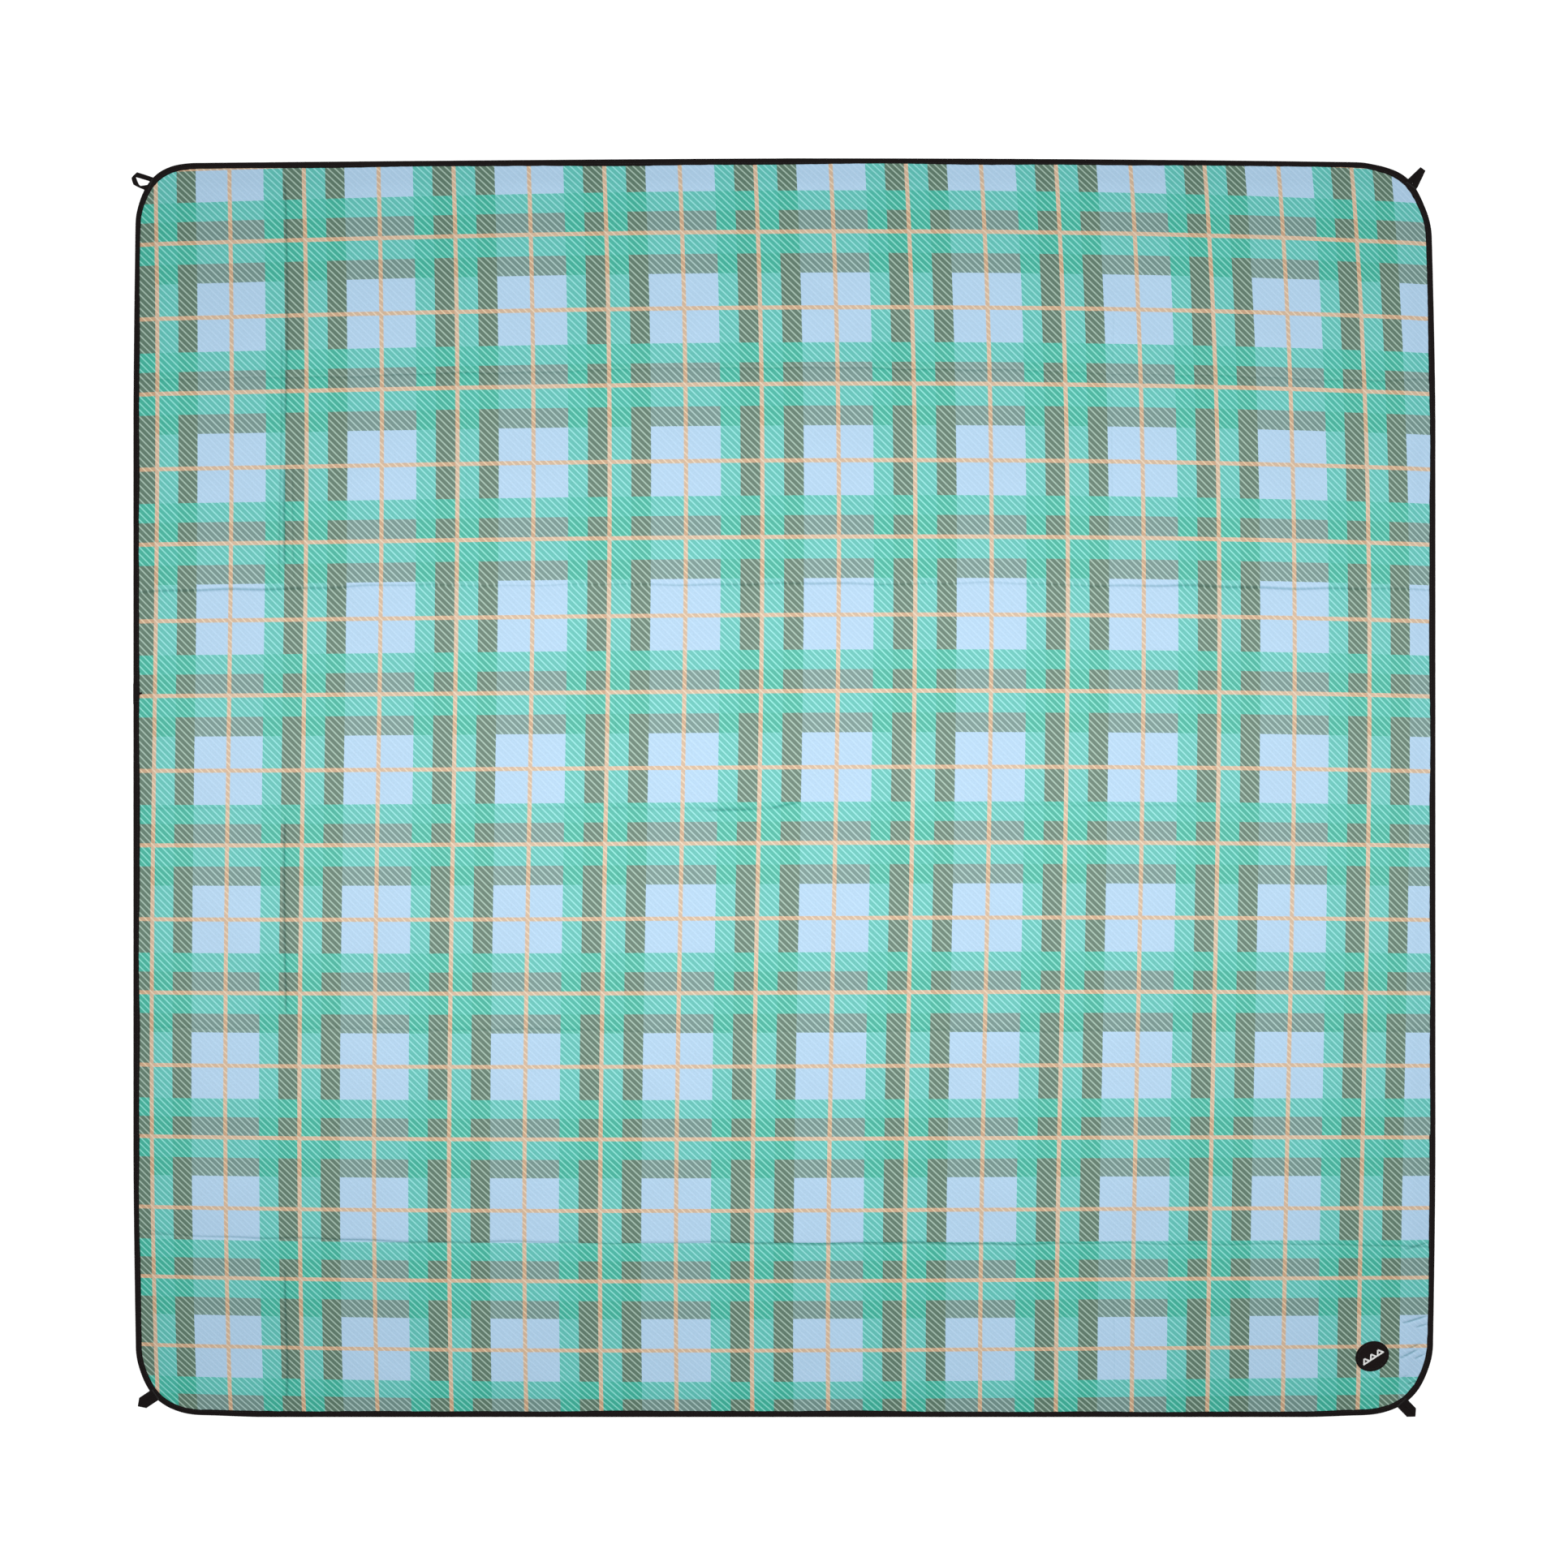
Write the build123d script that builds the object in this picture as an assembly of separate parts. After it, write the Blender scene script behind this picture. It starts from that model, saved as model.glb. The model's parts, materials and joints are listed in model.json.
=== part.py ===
from build123d import *

import math
import os

# A padded camp blanket laid flat, in millimetres. The origin is at the centre of
# its underside, +X runs to the right, +Y to the head edge and +Z up.
# The real cloths are whole. Here each is cut at the five storage folds into six
# rows, row1 at the head and row6 at the foot, so that the blanket can fold up.

# ---- plan ----
BLANKET_WIDTH = 1550.0
BLANKET_LENGTH = 1500.0
HEAD_ROW_LENGTH = 256.0
FOLD_PITCH = 259.0
FOLD_COUNT = 5
FOLD_SLIT = 1.0

# ---- layers, from the floor up ----
CLOTH_THICKNESS = 0.4
BLANKET_THICKNESS = 4.0
TAPE_THICKNESS = 0.4
TAPE_WIDTH = 7.5
RIM_BOTTOM = 1.65
PINCH_WIDTH = 8.5

# ---- stitching ----
THREAD_WIDTH = 0.4
THREAD_HEIGHT = 0.2
SEAM_INSET = 5.8
BAR_TACK_INSET = 2.0
BAR_TACK_WIDTH = 2.0
BAR_TACK_LENGTH = 14.0
BAR_TACK_HEIGHT = 0.25

# ---- peg loops: a folded tape, laid as two tails side by side with a pointed end ----
LOOP_TAPE_WIDTH = 7.2
LOOP_THICKNESS = 2 * TAPE_THICKNESS
LOOP_REACH = 21.4
LOOP_SLIT = 0.5
OPEN_LOOP_EYE = 7.2
OPEN_LOOP_TAPE_WIDTH = 4.8
EYE_CORNER_RADIUS = 2.0
LOOP_CLEARANCE = 0.4
TAIL_LENGTH = 7.2
LOOP_AXIS_OFFSET = 0.3
FLIP_CLEARANCE = 0.5

# Each corner's radius, where round the corner its loop sits, where the loop
# points, both in degrees from +X, and whether the loop is spread open.
CORNERS = {
    "head_left": {"side": (-1, 1), "radius": 79.0, "seat": 142.0, "aim": 159.0, "open": True},
    "head_right": {"side": (1, 1), "radius": 95.0, "seat": 43.0, "aim": 54.0, "open": False},
    "foot_left": {"side": (-1, -1), "radius": 83.0, "seat": 224.0, "aim": 215.0, "open": False},
    "foot_right": {"side": (1, -1), "radius": 87.0, "seat": 304.0, "aim": 313.0, "open": False},
}

# ---- badge ----
BADGE_AT = (699.0, -676.0)
BADGE_RADII = (20.5, 17.5)
BADGE_TURN = 25.0
BADGE_THICKNESS = 0.6
BADGE_STITCH_INSET = 1.5
MOTIF_WIDTH = 29.0
MOTIF_HEIGHT = 7.6
MOTIF_LINE = 1.6
MOTIF_TURN = 8.0
TENT_COUNT = 3

# ---- lap of the binding tape ----
LAP_AT = 112.0
LAP_LENGTH = 24.0
LAP_WIDTH = 7.9
LAP_THICKNESS = 0.3

# ---- taller than anything here, for boxes and slabs that only cut ----
CUT_HEIGHT = 40.0

# ---- worked out from the above ----
FOLDS = [
    BLANKET_LENGTH / 2 - HEAD_ROW_LENGTH - i * FOLD_PITCH for i in range(FOLD_COUNT)
]
ROWS = range(1, FOLD_COUNT + 2)
TOP_CLOTH_BOTTOM = BLANKET_THICKNESS - CLOTH_THICKNESS
WALL_INSET = PINCH_WIDTH - CLOTH_THICKNESS
RIM_BACKING = RIM_BOTTOM + TAPE_THICKNESS
RIM_PADDING = RIM_BACKING + CLOTH_THICKNESS
RIM_TOP_CLOTH = RIM_PADDING + CLOTH_THICKNESS
RIM_UPPER_TAPE = RIM_TOP_CLOTH + CLOTH_THICKNESS
RIM_TOP = RIM_UPPER_TAPE + TAPE_THICKNESS
BADGE_TOP = BLANKET_THICKNESS + BADGE_THICKNESS

# A loop hangs at the underside of the rim, and its pointed end is two tapes thick.
LOOP_BOTTOM = RIM_BOTTOM - LOOP_THICKNESS
LOOP_TOP = RIM_BOTTOM + LOOP_THICKNESS
LOOP_AXIS_HEIGHT = (BLANKET_THICKNESS + FLIP_CLEARANCE + LOOP_TOP) / 2
FLIPPED_LOOP_TOP = 2 * LOOP_AXIS_HEIGHT - LOOP_BOTTOM

# Heights of the fold axes. A stack turned over about an axis lands as far above
# it as it was below. The two end rows leave room for a loop laid on them.
LAYER_GAP = 2.5
END_FOLD_HEIGHT = (BLANKET_THICKNESS + FLIP_CLEARANCE + FLIPPED_LOOP_TOP) / 2
TWO_ROW_STACK = 2 * END_FOLD_HEIGHT
INNER_FOLD_HEIGHT = (BLANKET_THICKNESS + LAYER_GAP + TWO_ROW_STACK) / 2
THREE_ROW_STACK = 2 * INNER_FOLD_HEIGHT
MIDDLE_FOLD_HEIGHT = (THREE_ROW_STACK + LAYER_GAP + THREE_ROW_STACK) / 2
FOLD_HEIGHTS = [
    END_FOLD_HEIGHT,
    INNER_FOLD_HEIGHT,
    MIDDLE_FOLD_HEIGHT,
    INNER_FOLD_HEIGHT,
    END_FOLD_HEIGHT,
]


def outline(inset):
    """The blanket's plan drawn in by inset: a rectangle with four unequal round corners."""
    half_x = BLANKET_WIDTH / 2 - inset
    half_y = BLANKET_LENGTH / 2 - inset
    plan = Rectangle(2 * half_x, 2 * half_y)
    for corner in CORNERS.values():
        side_x, side_y = corner["side"]
        point = (side_x * half_x, side_y * half_y, 0)
        vertex = plan.vertices().sort_by_distance(point)[0]
        plan = fillet(vertex, corner["radius"] - inset)
    return plan


def slab(inset, low, high):
    """The plan drawn in by inset, from one height to another."""
    return extrude(Pos(0, 0, low) * outline(inset), amount=high - low)


def band(outer, inner, low, high):
    """What lies between two insets of the plan, from one height to another."""
    return slab(outer, low, high) - slab(inner, low, high)


def row_space(row):
    """A box that holds one row between its two folds."""
    head = BLANKET_LENGTH if row == 1 else FOLDS[row - 2] - FOLD_SLIT / 2
    foot = -BLANKET_LENGTH if row == FOLD_COUNT + 1 else FOLDS[row - 1] + FOLD_SLIT / 2
    box = Box(2 * BLANKET_WIDTH, head - foot, CUT_HEIGHT)
    return Pos(0, (head + foot) / 2, 0) * box


# ---- the layers, whole ----


def backing():
    """The waterproof underside, flat on the floor and drawn up at the rim."""
    floor = slab(WALL_INSET, 0, CLOTH_THICKNESS)
    wall = band(WALL_INSET, PINCH_WIDTH, 0, RIM_PADDING)
    rim = band(TAPE_THICKNESS, PINCH_WIDTH, RIM_BACKING, RIM_PADDING)
    return floor + wall + rim


def padding():
    """The wadding, full thickness inside and pinched thin at the rim."""
    body = slab(PINCH_WIDTH, CLOTH_THICKNESS, TOP_CLOTH_BOTTOM)
    rim = slab(TAPE_THICKNESS, RIM_PADDING, RIM_TOP_CLOTH)
    return body + rim


def top_cloth():
    """The printed cloth, drawn down at the rim."""
    face = slab(WALL_INSET, TOP_CLOTH_BOTTOM, BLANKET_THICKNESS)
    wall = band(WALL_INSET, PINCH_WIDTH, RIM_TOP_CLOTH, BLANKET_THICKNESS)
    rim = band(TAPE_THICKNESS, PINCH_WIDTH, RIM_TOP_CLOTH, RIM_UPPER_TAPE)
    return face + wall + rim


def binding():
    """The tape folded over the rim: two legs and the turn at the outer edge."""
    outside = band(0, TAPE_WIDTH, RIM_BOTTOM, RIM_TOP)
    inside = slab(TAPE_THICKNESS, RIM_BACKING, RIM_UPPER_TAPE)
    return outside - inside


def seam_thread():
    """The line of stitching on both legs of the tape, clear of the loops' tails and the lap."""
    inner = SEAM_INSET + THREAD_WIDTH
    upper = band(SEAM_INSET, inner, RIM_TOP, RIM_TOP + THREAD_HEIGHT) - binding_lap()
    lower = band(SEAM_INSET, inner, RIM_BOTTOM - THREAD_HEIGHT, RIM_BOTTOM)
    for name in CORNERS:
        lower -= loop_tails(name)
    return Compound(upper.solids() + lower.solids())


def binding_lap():
    """The tape's end, turned under and lapped over its start on the left edge."""
    strip = band(0, LAP_WIDTH, RIM_TOP, RIM_TOP + LAP_THICKNESS)
    window = Box(4 * TAPE_WIDTH, LAP_LENGTH, CUT_HEIGHT)
    return strip & (Pos(-BLANKET_WIDTH / 2, LAP_AT, 0) * window)


def lap_stitch():
    """Two lines of thread across the tape that close the lap."""
    line = Box(LAP_WIDTH - 2 * THREAD_WIDTH, THREAD_WIDTH, THREAD_HEIGHT)
    x = -BLANKET_WIDTH / 2 + LAP_WIDTH / 2
    z = RIM_TOP + LAP_THICKNESS + THREAD_HEIGHT / 2
    reach = LAP_LENGTH / 2 - 2 * THREAD_WIDTH
    return Compound([Pos(x, LAP_AT + side * reach, z) * line for side in (-1, 1)])


# ---- peg loops ----


def seat(name):
    """Where a loop's middle line leaves the outer edge of the tape."""
    corner = CORNERS[name]
    side_x, side_y = corner["side"]
    turn = math.radians(corner["seat"])
    x = side_x * (BLANKET_WIDTH / 2 - corner["radius"]) + corner["radius"] * math.cos(turn)
    y = side_y * (BLANKET_LENGTH / 2 - corner["radius"]) + corner["radius"] * math.sin(turn)
    return x, y


def at_seat(name, shape, turn):
    """A shape drawn with +X outward, put at a loop's seat and turned."""
    x, y = seat(name)
    return Pos(x, y, 0) * Rot(0, 0, turn) * shape


def loop_widths(name):
    """The width of the eye or slit between a loop's tails, and of each tail."""
    if CORNERS[name]["open"]:
        return OPEN_LOOP_EYE, OPEN_LOOP_TAPE_WIDTH
    return LOOP_SLIT, LOOP_TAPE_WIDTH


def peg_loop(name):
    """Two tails side by side and the pointed end, where the tape is folded double."""
    eye, tape = loop_widths(name)
    half = eye / 2 + tape
    shoulder = LOOP_REACH - LOOP_TAPE_WIDTH
    start = -TAPE_WIDTH
    plan = Polyline(
        (start, -half), (shoulder, -half), (LOOP_REACH, 0), (shoulder, half), (start, half),
        close=True,
    )
    plate = extrude(make_face(plan), amount=LOOP_THICKNESS)
    gap = Pos((start + shoulder) / 2, 0) * Rectangle(shoulder - start, eye)
    if CORNERS[name]["open"]:
        gap = fillet(gap.vertices().group_by(Axis.X)[-1], EYE_CORNER_RADIUS)
    plate -= extrude(gap, amount=LOOP_THICKNESS)
    tip = Polyline((shoulder, -half), (LOOP_REACH, 0), (shoulder, half), close=True)
    flap = Pos(0, 0, LOOP_THICKNESS) * extrude(make_face(tip), amount=LOOP_THICKNESS)
    loop = at_seat(name, Pos(0, 0, LOOP_BOTTOM) * (plate + flap), CORNERS[name]["aim"])
    return loop - slab(-LOOP_CLEARANCE, -CUT_HEIGHT / 2, CUT_HEIGHT / 2)


def loop_tails(name):
    """The ends of a loop's tape, sewn to the underside of the binding."""
    eye, tape = loop_widths(name)
    strip = Box(2 * TAIL_LENGTH, tape, LOOP_THICKNESS)
    z = LOOP_BOTTOM + LOOP_THICKNESS / 2
    offset = (eye + tape) / 2
    tails = []
    for side in (-1, 1):
        tail = at_seat(name, Pos(0, side * offset, z) * strip, CORNERS[name]["aim"])
        tails += (tail & band(0, TAIL_LENGTH, LOOP_BOTTOM, RIM_BOTTOM)).solids()
    return Compound(tails)


def bar_tack(name):
    """Dense stitching across the tails, above the tape and below the tails."""
    block = Box(BAR_TACK_WIDTH, BAR_TACK_LENGTH, BAR_TACK_HEIGHT)
    x = -BAR_TACK_INSET - BAR_TACK_WIDTH / 2
    above = RIM_TOP + BAR_TACK_HEIGHT / 2
    below = LOOP_BOTTOM - BAR_TACK_HEIGHT / 2
    blocks = [Pos(x, 0, z) * block for z in (above, below)]
    return Compound([at_seat(name, b, CORNERS[name]["seat"]) for b in blocks])


# ---- badge ----


def on_badge(shape, low):
    """A shape drawn about the badge's centre, put in its place."""
    return Pos(*BADGE_AT, low) * Rot(0, 0, BADGE_TURN) * shape


def badge():
    """A thin oval patch."""
    return on_badge(extrude(Ellipse(*BADGE_RADII), amount=BADGE_THICKNESS), BLANKET_THICKNESS)


def badge_stitch():
    """The thread that holds the patch, just inside its edge."""
    outer = Ellipse(*(r - BADGE_STITCH_INSET for r in BADGE_RADII))
    inner = Ellipse(*(r - BADGE_STITCH_INSET - THREAD_WIDTH for r in BADGE_RADII))
    return on_badge(extrude(outer - inner, amount=THREAD_HEIGHT), BADGE_TOP)


def badge_motif():
    """A row of three plain tents on a ground line, in raised thread."""
    low = -MOTIF_HEIGHT / 2
    half_tent = MOTIF_WIDTH / TENT_COUNT / 2
    motif = Pos(0, low + MOTIF_LINE / 2) * Rectangle(MOTIF_WIDTH, MOTIF_LINE)
    for tent in range(TENT_COUNT):
        middle = (2 * tent + 1) * half_tent - MOTIF_WIDTH / 2
        corners = (middle - half_tent, low), (middle + half_tent, low), (middle, low + MOTIF_HEIGHT)
        outside = make_face(Polyline(*corners, close=True))
        motif += outside - offset(outside, amount=-MOTIF_LINE, kind=Kind.INTERSECTION)
    motif = Rot(0, 0, MOTIF_TURN) * motif
    return on_badge(extrude(motif, amount=THREAD_HEIGHT), BADGE_TOP)


def sub_parts():
    """Every sub-part by node name."""
    layers = {
        "backing": backing(),
        "padding": padding(),
        "top_cloth": top_cloth(),
        "binding": binding(),
        "seam_thread": seam_thread(),
    }
    made = {}
    for row in ROWS:
        space = row_space(row)
        for layer, whole in layers.items():
            made[f"{layer}_row{row}"] = whole & space
    for name in CORNERS:
        made[f"peg_loop_{name}"] = peg_loop(name)
        made[f"loop_tails_{name}"] = loop_tails(name)
        made[f"bar_tack_{name}"] = bar_tack(name)
    made["binding_lap"] = binding_lap()
    made["lap_stitch"] = lap_stitch()
    made["badge"] = badge()
    made["badge_stitch"] = badge_stitch()
    made["badge_motif"] = badge_motif()
    return made


def main():
    os.makedirs("parts", exist_ok=True)
    for name, shape in sub_parts().items():
        export_step(Compound(shape.solids()), f"parts/{name}.step")


main()
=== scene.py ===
import json
import math

import bpy
import numpy as np
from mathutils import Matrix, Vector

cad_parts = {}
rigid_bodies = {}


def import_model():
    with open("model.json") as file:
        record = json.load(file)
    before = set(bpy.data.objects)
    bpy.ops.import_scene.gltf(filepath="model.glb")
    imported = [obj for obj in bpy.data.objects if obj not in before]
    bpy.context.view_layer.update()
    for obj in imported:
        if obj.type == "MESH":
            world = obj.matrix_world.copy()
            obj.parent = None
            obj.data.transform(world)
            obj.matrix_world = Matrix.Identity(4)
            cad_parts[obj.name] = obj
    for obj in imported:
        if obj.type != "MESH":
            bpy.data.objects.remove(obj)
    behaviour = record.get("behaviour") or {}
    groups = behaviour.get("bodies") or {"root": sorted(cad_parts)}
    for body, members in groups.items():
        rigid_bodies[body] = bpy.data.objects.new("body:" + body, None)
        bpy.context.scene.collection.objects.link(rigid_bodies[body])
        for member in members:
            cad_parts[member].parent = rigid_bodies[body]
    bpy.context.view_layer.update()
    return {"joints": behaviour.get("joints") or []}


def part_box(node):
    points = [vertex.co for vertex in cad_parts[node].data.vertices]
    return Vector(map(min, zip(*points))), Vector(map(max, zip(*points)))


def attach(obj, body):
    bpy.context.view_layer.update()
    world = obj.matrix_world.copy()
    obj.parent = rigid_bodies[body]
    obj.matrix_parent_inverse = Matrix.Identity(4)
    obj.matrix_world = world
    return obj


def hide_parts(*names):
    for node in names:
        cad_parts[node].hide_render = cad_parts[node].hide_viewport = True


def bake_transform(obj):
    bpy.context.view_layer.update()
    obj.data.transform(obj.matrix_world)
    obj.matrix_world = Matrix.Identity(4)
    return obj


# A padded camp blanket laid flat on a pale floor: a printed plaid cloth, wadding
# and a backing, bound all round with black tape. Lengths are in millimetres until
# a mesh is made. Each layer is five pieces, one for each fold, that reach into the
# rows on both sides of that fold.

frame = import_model()
scene = bpy.context.scene
MM = 0.001


def box(node):
    """The low and high corners of a CAD node, in millimetres."""
    return [np.array(corner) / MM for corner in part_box(node)]


# ---- the frame's own measures ----
FOLD_COUNT = 5
LOOP_NAMES = ("head_left", "head_right", "foot_left", "foot_right")
JOINTS = {joint["name"]: joint for joint in frame["joints"]}
FOLDS = [np.array(JOINTS[f"fold_{i}"]["pos_m"]) / MM for i in range(1, FOLD_COUNT + 1)]
FOLD_Y = np.array([fold[1] for fold in FOLDS])
HALF_X = box("binding_row3")[1][0]
HALF_Y = box("binding_row1")[1][1]
CORNER_RADIUS = {"head_left": 79.0, "head_right": 95.0, "foot_left": 83.0, "foot_right": 87.0}
SEAT_TO_AXIS = 0.3

# ---- the photograph's view, in metres ----
VIEW_WIDTH = 1.8648
VIEW_CENTRE = (-0.0005, 0.0059)

# ---- layers, from the floor up ----
CLOTH_THICKNESS = 0.4
TAPE_THICKNESS = 0.4
RIM_UNDER = 0.5
RIM_TOP = 2.5
FULL_UNDER = 0.05
FULL_TOP = 4.0
CLOTH_INSET = 2.6
PINCH_INSET = 8.0
TOP_SHOULDER = 26.0
UNDER_SHOULDER = 15.0
LAYER_CLEARANCE = 0.05

# ---- binding tape ----
TAPE_WIDTH = 7.3
TAPE_UNDER_Z = 0.47
TAPE_TOP_Z = 2.72
TAPE_NOSE = 1.4
LAP_RISE = 0.33
LAP_THICKNESS = 0.26
SEAM_INSET = 5.4
SEAM_PRESS = 0.14
STITCH_PITCH = 3.3
STITCH_LENGTH = 2.5
STITCH_SHARE = np.linspace(0, 1, 6)
STITCH_ARCH = np.sin(math.pi * STITCH_SHARE) ** 0.6
THREAD_RADIUS = 0.17

# ---- mesh steps ----
COARSE_STEP = 6.0
BACKING_STEP = 1.4 * COARSE_STEP
PADDING_STEP = 2 * COARSE_STEP
FOLD_STEP = 0.6
FOLD_BAND = 11.0
EDGE_STEP = 2.5
EDGE_BAND = 26.0
CROSS_STEP = 0.7
CROSS_BAND = 3.5
STEP_GROWTH = 0.25
SHARP_TURN = math.radians(60)

# ---- plaid print ----
PRINT_PERIOD = 182.0
HATCH_PER_PERIOD = 22.0
HATCH_PHASE = 0.03


def smooth(t):
    """A soft step from 0 to 1."""
    t = np.clip(t, 0.0, 1.0)
    return t * t * (3 - 2 * t)


def stacked(*parts):
    """Points, or faces, from their parts. A part may be one number for all."""
    return np.stack(np.broadcast_arrays(*parts), axis=-1)


def graded(low, high, spacing):
    """Coordinates from low to high whose steps follow spacing(at)."""
    fine = np.linspace(low, high, 20001)
    middles = (fine[1:] + fine[:-1]) / 2
    count = np.concatenate([[0.0], np.cumsum(np.diff(fine) / spacing(middles))])
    return np.interp(np.linspace(0, count[-1], math.ceil(count[-1]) + 1), count, fine)


def near(at, places, band, fine, coarse):
    """Steps of fine within band of the places, growing to coarse away from them."""
    away = np.min(np.abs(at[:, None] - np.asarray(places)[None, :]), axis=1) - band
    return np.clip(fine + STEP_GROWTH * away, fine, coarse)


def ripple(x, y, length, seed, waves=7):
    """A sum of waves of about this length in all directions, with an rms of 1. With y
    at 0 it is a wave along a line."""
    rng = np.random.default_rng(seed)
    total = np.zeros(np.broadcast(x, y).shape)
    for _ in range(waves):
        turn, phase = rng.uniform(0, 2 * math.pi, 2)
        k = 2 * math.pi / (length * rng.uniform(0.7, 1.4))
        total += np.sin(k * (x * math.cos(turn) + y * math.sin(turn)) + phase)
    return total / math.sqrt(waves / 2)


# ======== camera, floor, light ========

def put(name, data, location=(0, 0, 0)):
    """A new object in the scene."""
    thing = bpy.data.objects.new(name, data)
    thing.location = location
    scene.collection.objects.link(thing)
    return thing


def make_camera():
    """Straight above the middle of the blanket, as wide as the blanket and a margin."""
    data = bpy.data.cameras.new("camera")
    data.lens = 50.0
    data.sensor_width = 36.0
    distance = VIEW_WIDTH * data.lens / data.sensor_width
    scene.camera = put("camera", data, (*VIEW_CENTRE, distance + FULL_TOP * MM))


def make_floor():
    """A plain white floor that stays white under the blanket's own soft shadow."""
    reach = 30.0
    mesh = bpy.data.meshes.new("floor")
    corners = [(-reach, -reach, 0), (reach, -reach, 0), (reach, reach, 0), (-reach, reach, 0)]
    mesh.from_pydata(corners, [], [(0, 1, 2, 3)])
    mesh.materials.append(Recipe("floor").finish(
        (0.9, 0.9, 0.9, 1), Roughness=0.9, Emission_Color=(1, 1, 1, 1), Emission_Strength=0.6,
    ))
    put("floor", mesh)


def make_light():
    """One long soft lamp overhead, parallel to the folds, and an even pale surround."""
    data = bpy.data.lights.new("overhead", "AREA")
    data.shape = "ELLIPSE"
    data.size = 3.2
    data.size_y = 1.17
    data.energy = 27.2
    put("overhead", data, (0.05, 0.04, 1.62)).visible_camera = False
    world = bpy.data.worlds.new("surround")
    world.use_nodes = True
    background = world.node_tree.nodes["Background"]
    background.inputs["Color"].default_value = (1, 1, 1, 1)
    background.inputs["Strength"].default_value = 0.3
    scene.world = world
    scene.view_settings.view_transform = "Standard"


# ======== the blanket's plan ========

def radius_at(x, y):
    """The radius of the corner in the quarter that each point is in."""
    head = np.where(x > 0, CORNER_RADIUS["head_right"], CORNER_RADIUS["head_left"])
    foot = np.where(x > 0, CORNER_RADIUS["foot_right"], CORNER_RADIUS["foot_left"])
    return np.where(y > 0, head, foot)


def inset(x, y):
    """How far each point of the plan is inside the outline."""
    radius = radius_at(x, y)
    over_x = np.maximum(np.abs(x) - (HALF_X - radius), 0)
    over_y = np.maximum(np.abs(y) - (HALF_Y - radius), 0)
    straight = np.minimum(HALF_X - np.abs(x), HALF_Y - np.abs(y))
    return np.where((over_x > 0) & (over_y > 0), radius - np.hypot(over_x, over_y), straight)


def round_corners(x, y, margin):
    """Draws a rectangle's grid in to the rounded outline, margin inside it."""
    fade_length = 130.0
    half_x, half_y = HALF_X - margin, HALF_Y - margin
    radius = radius_at(x, y) - margin
    from_side, from_end = half_x - np.abs(x), half_y - np.abs(y)

    def pull(turn, at_x, at_y):
        corner_x = half_x - radius + radius * np.cos(turn)
        corner_y = half_y - radius + radius * np.sin(turn)
        return corner_x - at_x, corner_y - at_y

    quarter = math.pi / 4
    share = np.clip(from_side / radius, 0, 1)
    end_x, end_y = pull(quarter * (1 + share), half_x - share * radius, half_y)
    share = np.clip(from_end / radius, 0, 1)
    side_x, side_y = pull(quarter * (1 - share), half_x, half_y - share * radius)
    tip_x, tip_y = pull(quarter, half_x, half_y)
    at_end = 1 - smooth(from_end / fade_length)
    at_side = 1 - smooth(from_side / fade_length)
    both = at_end * at_side
    move_x = at_end * end_x + at_side * side_x - both * tip_x
    move_y = at_end * end_y + at_side * side_y - both * tip_y
    return x + np.sign(x) * move_x, y + np.sign(y) * move_y


def settle(x, y):
    """The laid blanket strays a little from its cut: the head edge bows outward in the
    middle, and the sides draw in before each corner."""
    across, along = np.abs(x), np.abs(y)
    tip_x = smooth((0.975 * HALF_X - across) / 60)
    tip_y = smooth((0.985 * HALF_Y - along) / 50)
    near_head = smooth((y / HALF_Y - 0.45) / 0.5)
    near_foot = smooth((-y / HALF_Y - 0.5) / 0.5)
    near_side = smooth((across / HALF_X - 0.5) / 0.5)
    bow = np.where(x < 0, 5.2 * ((across + 30) / 700) ** 1.3, 4.9 * (across / 700) ** 2.2)
    head = -(0.3 + bow) * tip_x * near_head
    foot = (1.0 + 2.2 * smooth((across - 620) / 80) * tip_x) * near_foot
    head_draw = np.where(x < 0, 2.6, 5.0)
    draw = np.where(y > 0, head_draw, 3.1) * (np.maximum(along - 430, 0) / 250) ** 1.5
    return x - np.sign(x) * draw * tip_y * near_side, y + head + foot


# ======== creases and relief ========

# Storage creases that run across the blanket, one near each fold: their course as
# (x, y, depth) points, and their half width.
LONG_CREASES = (
    {
        "course": ((-765, 487, 0.6), (-65, 501, 0.55), (200, 499, 0.55), (765, 485, 0.5)),
        "width": 1.6,
    },
    {
        "course": (
            (-765, 234, 1.05), (-640, 236, 0.9), (-500, 241, 0.6), (230, 244, 0.7),
            (420, 241, 0.85), (765, 236, 0.8),
        ),
        "width": 1.5,
    },
    {
        "course": ((-765, -25, 0.35), (0, -24, 0.35), (300, -20, 0.35), (765, -26, 0.35)),
        "width": 1.8,
    },
    {"course": ((-765, -286, 0.4), (0, -290, 0.4), (765, -289, 0.4)), "width": 1.7},
    {
        "course": (
            (-765, -532, 0.95), (-620, -536, 1.0), (-400, -541, 0.95), (-100, -542, 1.2),
            (330, -543, 1.3), (480, -543, 0.75), (680, -545, 0.6), (765, -546, 0.7),
        ),
        "width": 1.5,
    },
)

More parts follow.
